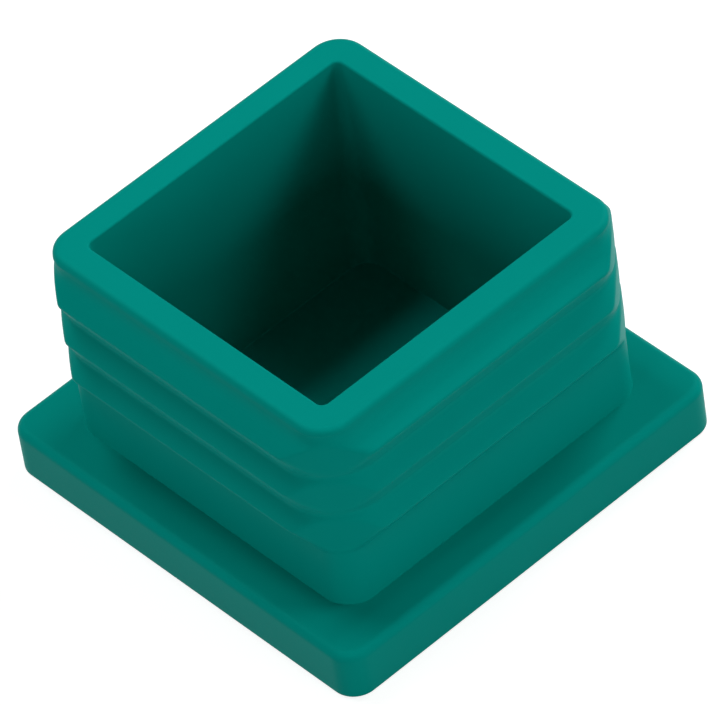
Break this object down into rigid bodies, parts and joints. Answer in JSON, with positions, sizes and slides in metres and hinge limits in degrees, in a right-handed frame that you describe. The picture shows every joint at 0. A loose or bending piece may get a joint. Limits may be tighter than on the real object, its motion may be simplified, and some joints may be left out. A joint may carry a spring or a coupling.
{
  "type": "square tube end cap",
  "caption": "Moulded square end cap with a ribbed hollow stem that presses into the open end of a square tube.",
  "frame": {"origin": "centre of the outer face of the flange", "axes": "+Z along the stem, from the flange to the open rim; +X and +Y square to two sides of the flange"},
  "size_m": [0.025, 0.025, 0.015],
  "materials": {
    "teal_plastic": "satin, as moulded"
  },
  "bodies": {
    "root": {"end_cap": "teal_plastic"}
  },
  "joints": []
}
